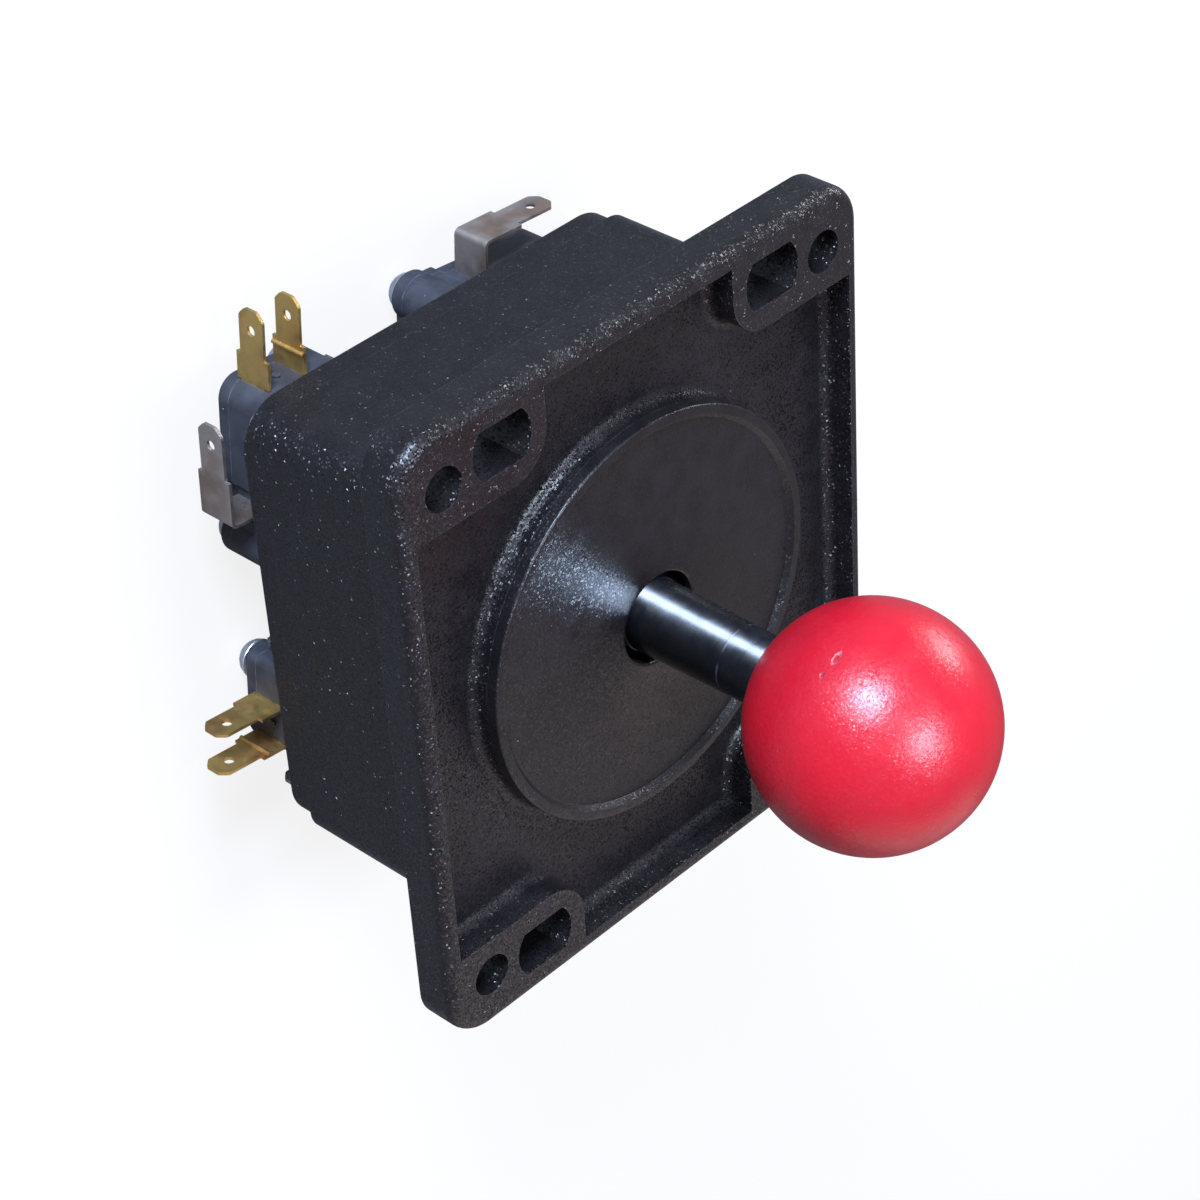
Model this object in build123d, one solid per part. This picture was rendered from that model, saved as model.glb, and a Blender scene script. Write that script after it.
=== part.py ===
from build123d import *
import os
from math import cos, hypot, radians, sin, sqrt, tan

# Panel joystick with a ball knob, a spherical pivot, a square gate and four lever switches.
# Millimetres. +Z runs up the lever towards the knob. The origin is the centre of the
# panel bolt pattern, on the plane of the flange rim that the panel rests against.

# Mounting flange
FLANGE_X = 90.0
FLANGE_Y = 101.0
FLANGE_T = 6.7
FLANGE_CORNER_R = 7.0
FLANGE_EDGE_R = 1.9
RIM_X = 2.4
RIM_Y = 3.0
RECESS_D = 4.8
RECESS_FOOT_R = 1.6
EDGE_BREAK = 0.35
BOSS_INNER_X = 18.3
BOSS_INNER_Y = 35.3
BOSS_CORNER_R = 6.7
PANEL_HOLE_R = 3.26
PANEL_PITCH_X = 74.2
PANEL_PITCH_Y = 83.0
CARRIAGE_HOLE_R = 5.4
CARRIAGE_FLATS = 7.6
CARRIAGE_PITCH_X = 52.8
CARRIAGE_PITCH_Y = 85.2
REAR_PAD_X = 14.0
REAR_PAD_Y = 12.0
REAR_PAD_R = 2.0
REAR_PAD_T = 2.5
REAR_PAD_DROP = 1.6

# Housing body behind the flange
BODY_X = 73.4
BODY_Y = 72.7
BODY_CORNER_R = 4.7
BODY_DEPTH = 36.6
WALL = 2.5
BODY_RIB_T = 2.0
BODY_RIB_DEPTH = 4.5
POST_R = 3.4
POST_X = 32.3
POST_Y = 32.0

# Centre ring and the dust cover that caps it
RING_R = 31.2
RING_TOP_DROP = 2.12
RING_WALL = 2.8
RING_EDGE_R = 0.3
COVER_R = 31.5
COVER_TOP_DROP = 0.2
COVER_LIP_W = 1.5
COVER_LIP_H = 0.75
COVER_LIP_DRAFT = 0.7
COVER_EDGE_R = 0.35
COVER_T = 1.3
COVER_HUB_RISE = 0.8
COVER_CLEARANCE = 0.1
SPIGOT_DEPTH = 1.2
HUB_HOLE_R = 6.95
HUB_EDGE_R = 0.4
POCKET_DEPTH = 3.6
FRONT_WALL = 2.2
CORE_R = 26.5

# Spherical pivot
PIVOT_DEPTH = 6.5
BALL_R = 8.0
LINER_T = 1.5
SPHERE_CLEARANCE = 0.05
LINER_ABOVE = 4.0
LINER_BELOW = 3.5
SOCKET_ABOVE = 4.9
BARREL_WALL = 3.3
BARREL_BELOW = 5.8
BALL_FLAT_BELOW = 6.0
TILT_DEG = 6.5

# Shaft, sleeve and knob
SHAFT_R = 3.5
BORE_CLEARANCE = 0.03
SLEEVE_R_LOW = 5.6
SLEEVE_R_HIGH = 5.1
KNOB_R = 17.5
KNOB_HEIGHT = 39.0
STUD_R = 3.0
STUD_LENGTH = 13.0
STUD_HOLE_SPARE = 2.0

# Centring spring and its seat
SPRING_R = 10.6
SPRING_WIRE_R = 0.8
SPRING_TURNS = 4.5
SEAT_HUB_R = 7.0
SEAT_HUB_H = 2.0
SEAT_FLANGE_R = 12.0
SEAT_FLANGE_T = 1.6
SEAT_SPIGOT_R = 8.8
SEAT_SPIGOT_H = 2.0
SEAT_GAP = 0.03

# Rear plate with the square gate
PLATE_T = 3.8
PLATE_INSET = 0.1
PLATE_CORNER_R = 7.0
GATE_CLEARANCE = 0.08
GATE_CORNER_R = 2.0
SPRING_RING_WALL = 1.2
SPRING_RING_H = 1.6
LIP_LENGTH = 44.0
LIP_T = 1.6
LIP_H = 2.0
LIP_CLEARANCE = 0.15
STANDOFF_H = 3.3
STANDOFF_R = 3.2

# Screws
SCREW_R = 1.45
SCREW_HOLE_CLEARANCE = 0.05
PLATE_SCREW_HEAD_R = 2.7
PLATE_SCREW_HEAD_H = 1.9
PLATE_SCREW_LENGTH = 14.0
SWITCH_SCREW_HEAD_R = 3.1
SWITCH_SCREW_HEAD_H = 2.8
SWITCH_SCREW_GRIP = 6.0
SCREW_TIP_SPARE = 0.6

# Actuator on the lower end of the shaft
ACTUATOR_R = 8.5
ACTUATOR_CROWN_R = 14.0
ACTUATOR_HALF_H = 3.3
ACTUATOR_HUB_R = 5.0
ACTUATOR_HUB_ABOVE = 4.8
ACTUATOR_HUB_BELOW = 4.2
ACTUATOR_SKIRT_T = 1.5
ACTUATOR_CORE_DEPTH = 4.6
WASHER_R = 5.2
WASHER_T = 0.6
CLIP_R = 4.6
CLIP_T = 0.75
CLIP_MOUTH = 4.3
GROOVE_R = 2.4
SHAFT_TAIL = 1.6

# Lever switch: u runs from the common end to the terminal end, v from the base to the plunger face
SWITCH_L = 27.8
SWITCH_H = 15.9
SWITCH_T = 10.3
SWITCH_X = -31.9
SWITCH_Y = 5.1
SWITCH_TOE_DEG = 5.5
COVER_PLATE_T = 2.4
CASE_WALL = 1.3
CASE_CORNER_R = 1.5
CASE_SHOULDER_R = 3.5
CASE_EDGE_R = 0.6
HOLE_INSET = 2.8
SWITCH_HOLE_R = 1.55
SWITCH_BOSS_R = 3.0
EAR_R = 3.7
BASE_NOTCH_U = 9.5
BASE_NOTCH_W = 5.0
BASE_NOTCH_D = 0.7
NUB_V = 5.95
NUB_RISE = 0.8
NUB_R = 0.55
NUB_H = 0.5
PLUNGER_U = 10.0
PLUNGER_R = 1.6
PLUNGER_TIP_R = 2.5
PLUNGER_TRAVEL = 1.41
PLUNGER_FLANGE_R = 2.5
PLUNGER_FLANGE_T = 1.2
PLUNGER_FOOT_R = 1.2
RUNNING_CLEARANCE = 0.05
LEVER_PIN_U = 24.6
LEVER_PIN_RISE = 1.0
LEVER_PIN_R = 0.45
LEVER_LUG_R = 0.8
LEVER_LUG_W = 3.6
LEVER_T = 0.5
LEVER_W = 4.8
LEVER_OFFSET = 1.15
LEVER_REACH = 34.0
LEVER_EAR_T = 0.5
LEVER_EAR_R = 0.85
CONTACT_R = 1.3
CONTACT_H = 0.6
CONTACT_U = 18.5
BLADE_T = 0.3
BLADE_W = 4.0
BLADE_WINDOW = 1.6

# Switch terminals
TERMINAL_T = 0.5
TAB_W = 4.8
SHOULDER_W = 6.4
TAB_LENGTH = 7.2
SHOULDER_LENGTH = 4.2
TAB_CHAMFER = 1.2
TAB_TIP_R = 0.8
TAB_HOLE_R = 0.8
TAB_HOLE_INSET = 3.2
OPEN_V = 2.65
CLOSED_BOSS_GAP = 0.55
RIDGE_R = 0.35
RIDGE_OUT = 3.1
TERMINAL_INNER_U = 17.0
COMMON_U = 9.8
COMMON_DROP = 5.8
COMMON_SIDE_SHIFT = 0.8
COMMON_BEND_R = 1.0
COMMON_SHOULDER_LENGTH = 7.2
COMMON_TAB_LENGTH = 8.2
COMMON_SPLAY_DEG = 2.0
COMMON_FLOOR_V = 2.0
COMMON_POST_U = 6.9
COMMON_POST_V = 8.6
FACE_GAP = 0.02

SIDES = ["left", "top", "right", "bottom"]

# Heights that follow from the sizes above
BODY_REAR_Z = -BODY_DEPTH
PLATE_REAR_Z = BODY_REAR_Z - PLATE_T
SWITCH_FRONT_Z = PLATE_REAR_Z - STANDOFF_H
SWITCH_REAR_Z = SWITCH_FRONT_Z - SWITCH_T
SWITCH_MID_Z = (SWITCH_FRONT_Z + SWITCH_REAR_Z) / 2
COVER_PLATE_Z = SWITCH_REAR_Z + COVER_PLATE_T
PIVOT_Z = -PIVOT_DEPTH
RING_TOP_Z = -RING_TOP_DROP
RING_BORE_R = RING_R - RING_WALL
COVER_TOP_Z = -COVER_TOP_DROP
SOCKET_R = BALL_R + LINER_T + 2 * SPHERE_CLEARANCE
LINER_OUTER_R = BALL_R + LINER_T + SPHERE_CLEARANCE
LINER_INNER_R = BALL_R + SPHERE_CLEARANCE
BALL_TOP_Z = PIVOT_Z + sqrt(BALL_R**2 - SLEEVE_R_LOW**2)
BALL_BOTTOM_Z = PIVOT_Z - BALL_FLAT_BELOW
KNOB_FLAT_Z = KNOB_HEIGHT - sqrt(KNOB_R**2 - SLEEVE_R_HIGH**2)
FLANGE_SEAT_Z = BALL_BOTTOM_Z - SEAT_GAP - SEAT_HUB_H - SEAT_FLANGE_T
ACTUATOR_TOP_Z = SWITCH_MID_Z + ACTUATOR_HUB_ABOVE
ACTUATOR_END_Z = SWITCH_MID_Z - ACTUATOR_HUB_BELOW
WASHER_END_Z = ACTUATOR_END_Z - FACE_GAP - WASHER_T
CLIP_END_Z = WASHER_END_Z - FACE_GAP - CLIP_T
GATE_HALF = (
    (PIVOT_Z - PLATE_REAR_Z) * sin(radians(TILT_DEG))
    + SHAFT_R / cos(radians(TILT_DEG)) ** 2
    + GATE_CLEARANCE
)
SCREW_HOLE_R = SCREW_R + SCREW_HOLE_CLEARANCE
CLOSED_V = SWITCH_H - HOLE_INSET - SWITCH_BOSS_R - CLOSED_BOSS_GAP - TERMINAL_T / 2


def disc(radius, z_low, z_high):
    """Cylinder on the lever axis between two heights."""
    return Pos(0, 0, z_low) * extrude(Circle(radius), z_high - z_low)


def ring(outer_r, inner_r, z_low, z_high):
    """Tube on the lever axis between two heights."""
    return Pos(0, 0, z_low) * extrude(Circle(outer_r) - Circle(inner_r), z_high - z_low)


def slab(sketch, z_low, z_high):
    """Flat sketch raised between two heights."""
    return Pos(0, 0, z_low) * extrude(sketch, z_high - z_low)


def corners(half_x, half_y):
    """Four places at the corners of a rectangle."""
    return [Pos(sx * half_x, sy * half_y) for sx in (-1, 1) for sy in (-1, 1)]


def pivot_sphere(radius):
    """Sphere about the pivot centre."""
    return Pos(0, 0, PIVOT_Z) * Sphere(radius)


def turned(points):
    """Solid of revolution about the lever axis from (radius, height) points."""
    profile = Plane.XZ * make_face(Polyline(points, close=True))
    return revolve(profile, Axis.Z)


def circles_at(solid, radius, height):
    """Circular edges of a solid with this radius at this height."""
    circles = solid.edges().filter_by(GeomType.CIRCLE)
    return [e for e in circles if abs(e.radius - radius) < 0.01 and abs(e.center().Z - height) < 0.01]


def recess_sketch():
    """Recess between the rim, the four corner bosses and the centre ring."""
    sketch = RectangleRounded(FLANGE_X - 2 * RIM_X, FLANGE_Y - 2 * RIM_Y, FLANGE_CORNER_R - RIM_Y)
    boss_x = FLANGE_X / 2 - BOSS_INNER_X + BOSS_CORNER_R
    boss_y = FLANGE_Y / 2 - BOSS_INNER_Y + BOSS_CORNER_R
    boss = RectangleRounded(boss_x, boss_y, BOSS_CORNER_R)
    for place in corners(BOSS_INNER_X + boss_x / 2, BOSS_INNER_Y + boss_y / 2):
        sketch -= place * boss
    return sketch - Circle(RING_R)


def flange():
    """Mounting flange with a raised rim, corner bosses, centre ring, rear pads and bolt holes."""
    plate = slab(RectangleRounded(FLANGE_X, FLANGE_Y, FLANGE_CORNER_R), -FLANGE_T, 0)
    plate = fillet(plate.edges().group_by(Axis.Z)[-1], FLANGE_EDGE_R)
    plate -= slab(recess_sketch(), -RECESS_D, 1)
    floor_edges = plate.edges().filter_by_position(Axis.Z, -RECESS_D - 0.01, -RECESS_D + 0.01)
    plate = fillet(floor_edges, RECESS_FOOT_R)
    plate -= disc(RING_R + EDGE_BREAK, RING_TOP_Z, 1)
    plate = fillet(circles_at(plate, RING_R, RING_TOP_Z), RING_EDGE_R)
    pad = RectangleRounded(REAR_PAD_X, REAR_PAD_Y, REAR_PAD_R)
    for place in corners(CARRIAGE_PITCH_X / 2, CARRIAGE_PITCH_Y / 2 - REAR_PAD_DROP):
        plate += place * slab(pad, -FLANGE_T - REAR_PAD_T, -FLANGE_T + EDGE_BREAK)
    bolt = slab(Circle(PANEL_HOLE_R), -FLANGE_T - 1, 1)
    for place in corners(PANEL_PITCH_X / 2, PANEL_PITCH_Y / 2):
        plate -= place * bolt
    square_neck = Circle(CARRIAGE_HOLE_R) & Rectangle(4 * CARRIAGE_HOLE_R, CARRIAGE_FLATS)
    for place in corners(CARRIAGE_PITCH_X / 2, CARRIAGE_PITCH_Y / 2):
        plate -= place * slab(square_neck, -FLANGE_T - REAR_PAD_T - 1, 1)
    return plate


def body_shell():
    """Square moulded body, open at the rear, with screw posts in its corners."""
    outer = slab(RectangleRounded(BODY_X, BODY_Y, BODY_CORNER_R), BODY_REAR_Z, -FLANGE_T + EDGE_BREAK)
    inner_sketch = RectangleRounded(BODY_X - 2 * WALL, BODY_Y - 2 * WALL, BODY_CORNER_R - WALL)
    shell = outer - slab(inner_sketch, BODY_REAR_Z - 1, 0)
    for place in corners(POST_X, POST_Y):
        shell += place * slab(Circle(POST_R), BODY_REAR_Z, -FLANGE_T + EDGE_BREAK)
    return shell


def body_ribs():
    """Stiffening ribs behind the front wall, from the bearing barrel to the walls and posts."""
    rib_low = -FLANGE_T - BODY_RIB_DEPTH
    rib_high = -POCKET_DEPTH - FRONT_WALL + EDGE_BREAK
    barrel_r = SOCKET_R + BARREL_WALL / 2
    ribs = []
    for angle in (0, 90, 180, 270):
        length = (BODY_X if angle % 180 == 0 else BODY_Y) / 2 - WALL / 2 - barrel_r
        rib = Pos(barrel_r + length / 2, 0) * Rectangle(length, BODY_RIB_T)
        ribs.append(Rot(0, 0, angle) * slab(rib, rib_low, rib_high))
    for place in corners(1, 1):
        side_x, side_y = place.position.X, place.position.Y
        start = Vector(side_x, side_y).normalized() * barrel_r
        end = Vector(side_x * POST_X, side_y * POST_Y)
        length = (end - start).length
        angle = Vector(1, 0).get_signed_angle(end - start, Vector(0, 0, 1))
        rib = Pos(start.X, start.Y) * Rot(0, 0, angle) * Pos(length / 2, 0) * Rectangle(length, BODY_RIB_T)
        ribs.append(slab(rib, rib_low, rib_high))
    return ribs


def housing():
    """One moulding: flange, centre ring, bearing barrel, body shell, ribs and posts."""
    solid = flange()
    solid += body_shell()
    barrel_low = PIVOT_Z - BARREL_BELOW
    hub_r = SOCKET_R + BARREL_WALL
    solid -= ring(CORE_R, hub_r, -FLANGE_T - 1, -POCKET_DEPTH - FRONT_WALL)
    solid += ring(hub_r, SHAFT_R, barrel_low, -POCKET_DEPTH)
    for rib in body_ribs():
        solid += rib
    solid -= disc(RING_BORE_R, -POCKET_DEPTH, 1)
    socket_top = PIVOT_Z + SOCKET_ABOVE
    solid += ring(hub_r, SHAFT_R, -POCKET_DEPTH, socket_top)
    solid -= pivot_sphere(SOCKET_R)
    solid -= disc(SOCKET_R, barrel_low - 1, PIVOT_Z)
    for place in corners(POST_X, POST_Y):
        solid -= place * slab(Circle(SCREW_HOLE_R), BODY_REAR_Z - 1, BODY_REAR_Z + PLATE_SCREW_LENGTH)
    return solid


def dust_cover():
    """Cap on the ring: raised lip, shallow cone up to the hub hole and a spigot that plugs the bore."""
    lip_r = COVER_R - COVER_LIP_W
    face_z = COVER_TOP_Z - COVER_LIP_H
    hub_z = COVER_TOP_Z + COVER_HUB_RISE
    base_z = RING_TOP_Z + FACE_GAP
    spigot_r = RING_BORE_R - COVER_CLEARANCE
    solid = turned([
        (HUB_HOLE_R, hub_z),
        (lip_r - COVER_LIP_DRAFT, face_z),
        (lip_r, COVER_TOP_Z),
        (COVER_R, COVER_TOP_Z),
        (COVER_R, base_z),
        (spigot_r, base_z),
        (spigot_r, base_z - SPIGOT_DEPTH),
        (spigot_r - COVER_T, base_z - SPIGOT_DEPTH),
        (spigot_r - COVER_T, face_z - COVER_T),
        (HUB_HOLE_R, hub_z - COVER_T),
    ])
    solid = fillet(circles_at(solid, COVER_R, COVER_TOP_Z), COVER_EDGE_R)
    return fillet(circles_at(solid, HUB_HOLE_R, hub_z), HUB_EDGE_R)


def pivot_ball():
    """Steel ball on the shaft, flat on top for the sleeve and below for the spring seat."""
    zone = disc(BALL_R + 1, BALL_BOTTOM_Z, BALL_TOP_Z)
    return (pivot_sphere(BALL_R) & zone) - disc(SHAFT_R + BORE_CLEARANCE, PIVOT_Z - BALL_R, PIVOT_Z + BALL_R)


def pivot_liner():
    """Spherical bush between the ball and the socket, open at both ends."""
    zone = disc(SOCKET_R + 1, PIVOT_Z - LINER_BELOW, PIVOT_Z + LINER_ABOVE)
    return (pivot_sphere(LINER_OUTER_R) & zone) - pivot_sphere(LINER_INNER_R)


def shaft():
    """Steel shaft with a stud for the knob and a stepped, grooved lower end."""
    tail_z = CLIP_END_Z - SHAFT_TAIL
    solid = disc(SHAFT_R, ACTUATOR_TOP_Z, KNOB_FLAT_Z)
    solid += disc(STUD_R, KNOB_FLAT_Z, KNOB_FLAT_Z + STUD_LENGTH)
    solid += disc(STUD_R, tail_z, ACTUATOR_TOP_Z)
    solid -= ring(STUD_R + 1, GROOVE_R, CLIP_END_Z - FACE_GAP, WASHER_END_Z)
    ends = solid.edges().group_by(Axis.Z)
    return chamfer(ends[0] + ends[-1], EDGE_BREAK)


def shaft_sleeve():
    """Tapered plastic sleeve from the pivot ball up to the knob."""
    low = BALL_TOP_Z + FACE_GAP
    high = KNOB_FLAT_Z - FACE_GAP
    bore = SHAFT_R + BORE_CLEARANCE
    return turned([(bore, low), (SLEEVE_R_LOW - 0.1, low), (SLEEVE_R_HIGH, high), (bore, high)])


def ball_knob():
    """Ball with a small flat and a blind bore for the stud."""
    ball = Pos(0, 0, KNOB_HEIGHT) * Sphere(KNOB_R)
    ball &= disc(KNOB_R + 1, KNOB_FLAT_Z, KNOB_HEIGHT + KNOB_R + 1)
    bore_top = KNOB_FLAT_Z + STUD_LENGTH + STUD_HOLE_SPARE
    return ball - disc(STUD_R + BORE_CLEARANCE, KNOB_FLAT_Z - 1, bore_top)


def spring_seat():
    """Flanged bush under the ball, with a spigot that centres the spring."""
    bore = SHAFT_R + BORE_CLEARANCE
    top = BALL_BOTTOM_Z - SEAT_GAP
    points = [
        (bore, top),
        (SEAT_HUB_R, top),
        (SEAT_HUB_R, top - SEAT_HUB_H),
        (SEAT_FLANGE_R, top - SEAT_HUB_H),
        (SEAT_FLANGE_R, FLANGE_SEAT_Z),
        (SEAT_SPIGOT_R, FLANGE_SEAT_Z),
        (SEAT_SPIGOT_R - 0.8, FLANGE_SEAT_Z - SEAT_SPIGOT_H),
        (bore, FLANGE_SEAT_Z - SEAT_SPIGOT_H),
    ]
    return turned(points)


def centring_spring():
    """Compression spring between the rear plate and the spring seat."""
    low = BODY_REAR_Z + SPRING_WIRE_R + SEAT_GAP
    high = FLANGE_SEAT_Z - SPRING_WIRE_R - SEAT_GAP
    height = high - low
    path = Helix(pitch=height / SPRING_TURNS, height=height, radius=SPRING_R)
    start = Plane(origin=path @ 0, z_dir=path % 0)
    wire = start * RegularPolygon(SPRING_WIRE_R, 8)
    return Pos(0, 0, low) * sweep(wire, path=path, is_frenet=True)


def gate_sketch():
    """Square opening that stops the shaft on every side."""
    return RectangleRounded(2 * GATE_HALF, 2 * GATE_HALF, GATE_CORNER_R)


def switch_place(index):
    """Frame of one switch: X along u, Y towards the base, turned a quarter for each side."""
    return Rot(0, 0, -90 * index) * Pos(SWITCH_X, SWITCH_Y) * Rot(0, 0, 90 - SWITCH_TOE_DEG)


def switch_holes():
    """Two fixing holes of a switch in its own frame."""
    return [Pos(HOLE_INSET, -HOLE_INSET), Pos(SWITCH_L - HOLE_INSET, HOLE_INSET - SWITCH_H)]


def screw_places():
    """Fixing places of all four switches."""
    return [switch_place(i) * hole for i in range(len(SIDES)) for hole in switch_holes()]


def rear_plate():
    """Rear plate with the gate, a ring for the spring, locating lips and switch standoffs."""
    outline = RectangleRounded(BODY_X - 2 * PLATE_INSET, BODY_Y - 2 * PLATE_INSET, PLATE_CORNER_R)
    top_z = BODY_REAR_Z - FACE_GAP
    solid = slab(outline, PLATE_REAR_Z, top_z)
    ring_inner = SPRING_R + SPRING_WIRE_R + LIP_CLEARANCE
    solid += ring(ring_inner + SPRING_RING_WALL, ring_inner, top_z, top_z + SPRING_RING_H)
    lip_x = BODY_X / 2 - WALL - LIP_CLEARANCE - LIP_T / 2
    lip_y = BODY_Y / 2 - WALL - LIP_CLEARANCE - LIP_T / 2
    for side in (-1, 1):
        solid += Pos(side * lip_x, 0) * slab(Rectangle(LIP_T, LIP_LENGTH), top_z, top_z + LIP_H)
        solid += Pos(0, side * lip_y) * slab(Rectangle(LIP_LENGTH, LIP_T), top_z, top_z + LIP_H)
    for place in screw_places():
        solid += place * slab(Circle(STANDOFF_R), SWITCH_FRONT_Z + FACE_GAP, PLATE_REAR_Z)
    solid -= slab(gate_sketch(), PLATE_REAR_Z - 1, BODY_REAR_Z + 1)
    for place in corners(POST_X, POST_Y):
        solid -= place * slab(Circle(SCREW_HOLE_R), PLATE_REAR_Z - 1, BODY_REAR_Z + 1)
    pilot_top = SWITCH_FRONT_Z + SWITCH_SCREW_GRIP + SCREW_TIP_SPARE
    for place in screw_places():
        solid -= place * slab(Circle(SCREW_HOLE_R), SWITCH_FRONT_Z - 1, pilot_top)
    return solid


def screw(head_r, head_h, length):
    """Domed screw pointing up, with the underside of its head at height zero."""
    dome_r = (head_r**2 + head_h**2) / (2 * head_h)
    dome = Pos(0, 0, dome_r - head_h) * Sphere(dome_r)
    head = dome & slab(Circle(head_r + 1), -head_h, 0)
    return head + slab(Circle(SCREW_R), -head_h / 2, length)


def plate_screws():
    """Four screws that hold the rear plate."""
    length = PLATE_T + PLATE_SCREW_LENGTH - SCREW_TIP_SPARE
    one = screw(PLATE_SCREW_HEAD_R, PLATE_SCREW_HEAD_H, length)
    seat_z = PLATE_REAR_Z - FACE_GAP
    return Compound([place * Pos(0, 0, seat_z) * one for place in corners(POST_X, POST_Y)])


def switch_screws():
    """Eight screws that hold the four switches on their standoffs."""
    one = screw(SWITCH_SCREW_HEAD_R, SWITCH_SCREW_HEAD_H, SWITCH_T + SWITCH_SCREW_GRIP)
    seat_z = SWITCH_REAR_Z - FACE_GAP
    return Compound([place * Pos(0, 0, seat_z) * one for place in screw_places()])


def actuator():
    """Crowned moulding that pushes the switch levers, cored out from below."""
    bore = STUD_R + BORE_CLEARANCE
    low = SWITCH_MID_Z - ACTUATOR_HALF_H
    high = SWITCH_MID_Z + ACTUATOR_HALF_H
    edge_r = ACTUATOR_R - ACTUATOR_CROWN_R + sqrt(ACTUATOR_CROWN_R**2 - ACTUATOR_HALF_H**2)
    core_z = low + ACTUATOR_CORE_DEPTH
    crown = ThreePointArc((edge_r, high), (ACTUATOR_R, SWITCH_MID_Z), (edge_r, low))
    rest = [
        (edge_r, low),
        (edge_r - ACTUATOR_SKIRT_T, low),
        (edge_r - ACTUATOR_SKIRT_T, core_z),
        (ACTUATOR_HUB_R, core_z),
        (ACTUATOR_HUB_R, ACTUATOR_END_Z),
        (bore, ACTUATOR_END_Z),
        (bore, ACTUATOR_TOP_Z),
        (ACTUATOR_HUB_R, ACTUATOR_TOP_Z),
        (ACTUATOR_HUB_R, high),
        (edge_r, high),
    ]
    profile = Plane.XZ * make_face([crown, Polyline(rest)])
    return revolve(profile, Axis.Z)


def actuator_washer():
    """Flat washer under the actuator."""
    high = ACTUATOR_END_Z - FACE_GAP
    return ring(WASHER_R, STUD_R + BORE_CLEARANCE, high - WASHER_T, high)


def actuator_clip():
    """Open retaining clip in the groove of the shaft."""
    high = WASHER_END_Z - FACE_GAP
    sketch = Circle(CLIP_R) - Circle(GROOVE_R + BORE_CLEARANCE)
    sketch -= Pos(CLIP_R, 0) * Rectangle(2 * CLIP_R, CLIP_MOUTH)
    return slab(sketch, high - CLIP_T, high)


def case_outline():
    """Outline of the switch case: round shoulder at the terminal end, ear and notch at the other."""
    sketch = Pos(SWITCH_L / 2, -SWITCH_H / 2) * Rectangle(SWITCH_L, SWITCH_H)
    by_height = sketch.vertices().group_by(Axis.Y)
    base_end = by_height[-1].sort_by(Axis.X)
    sketch = fillet(base_end[-1], CASE_SHOULDER_R)
    square = [v for v in sketch.vertices() if v.X < 0.01 or v.Y < 0.01 - SWITCH_H]
    sketch = fillet(square, CASE_CORNER_R) + Pos(HOLE_INSET, -HOLE_INSET) * Circle(EAR_R)
    return sketch - Pos(BASE_NOTCH_U, 0) * Rectangle(BASE_NOTCH_W, 2 * BASE_NOTCH_D)


def case_cavity():
    """Hollow of the case, clear of the two fixing bosses."""
    inner_x = SWITCH_L - 2 * CASE_WALL
    inner_y = SWITCH_H - 2 * CASE_WALL
    sketch = Pos(SWITCH_L / 2, -SWITCH_H / 2) * Rectangle(inner_x, inner_y)
    for hole in switch_holes():
        sketch -= hole * Circle(SWITCH_BOSS_R)
    return sketch


def lever_lug():
    """Lug on the plunger face with the stub pin that the lever turns on."""
    pin_y = -SWITCH_H - LEVER_PIN_RISE
    foot = Pos(LEVER_PIN_U, -SWITCH_H + LEVER_LUG_R / 2 - LEVER_PIN_RISE / 2)
    outline = Pos(LEVER_PIN_U, pin_y) * Circle(LEVER_LUG_R)
    outline += foot * Rectangle(2 * LEVER_LUG_R, LEVER_LUG_R + LEVER_PIN_RISE)
    half = LEVER_LUG_W / 2
    lug = slab(outline, SWITCH_MID_Z - half, SWITCH_MID_Z + half)
    pin_half = LEVER_W / 2
    pin = Pos(LEVER_PIN_U, pin_y) * slab(Circle(LEVER_PIN_R), SWITCH_MID_Z - pin_half, SWITCH_MID_Z + pin_half)
    return lug + pin


def plunger_axis(v_position):
    """Place on the plunger's axis at one height of the switch, with Z pointing out of it."""
    return Pos(PLUNGER_U, -v_position, SWITCH_MID_Z) * Rot(90, 0, 0)


def switch_case():
    """Case with its cavity, fixing holes, plunger hole, terminal slots and lever lug."""
    solid = slab(case_outline(), COVER_PLATE_Z, SWITCH_FRONT_Z)
    solid -= slab(case_cavity(), COVER_PLATE_Z - 1, SWITCH_FRONT_Z - CASE_WALL)
    for hole in switch_holes():
        solid -= hole * slab(Circle(SWITCH_HOLE_R), COVER_PLATE_Z - 1, SWITCH_FRONT_Z + 1)
    plunger_hole = Cylinder(PLUNGER_R + RUNNING_CLEARANCE, 3 * CASE_WALL)
    solid -= plunger_axis(SWITCH_H) * plunger_hole
    slot_t = TERMINAL_T + 2 * FACE_GAP
    slot_w = TAB_W + 2 * FACE_GAP
    for v_position in (OPEN_V, CLOSED_V):
        solid -= Pos(SWITCH_L, -v_position, SWITCH_MID_Z) * Box(4 * CASE_WALL, slot_t, slot_w)
    solid -= Pos(COMMON_U, 0, SWITCH_MID_Z) * Box(slot_t, 3 * CASE_WALL, slot_w)
    nub = Pos(SWITCH_L, -NUB_V, SWITCH_MID_Z + NUB_RISE) * Rot(0, 90, 0) * Cylinder(NUB_R, 2 * NUB_H)
    return solid + nub + lever_lug()


def switch_cover():
    """Flat cover that closes the rear of the case."""
    high = COVER_PLATE_Z - FACE_GAP
    solid = slab(case_outline(), SWITCH_REAR_Z, high)
    solid = fillet(solid.edges().group_by(Axis.Z)[0], CASE_EDGE_R)
    for hole in switch_holes():
        solid -= hole * slab(Circle(SWITCH_HOLE_R), SWITCH_REAR_Z - 1, high + 1)
    return solid


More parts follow.
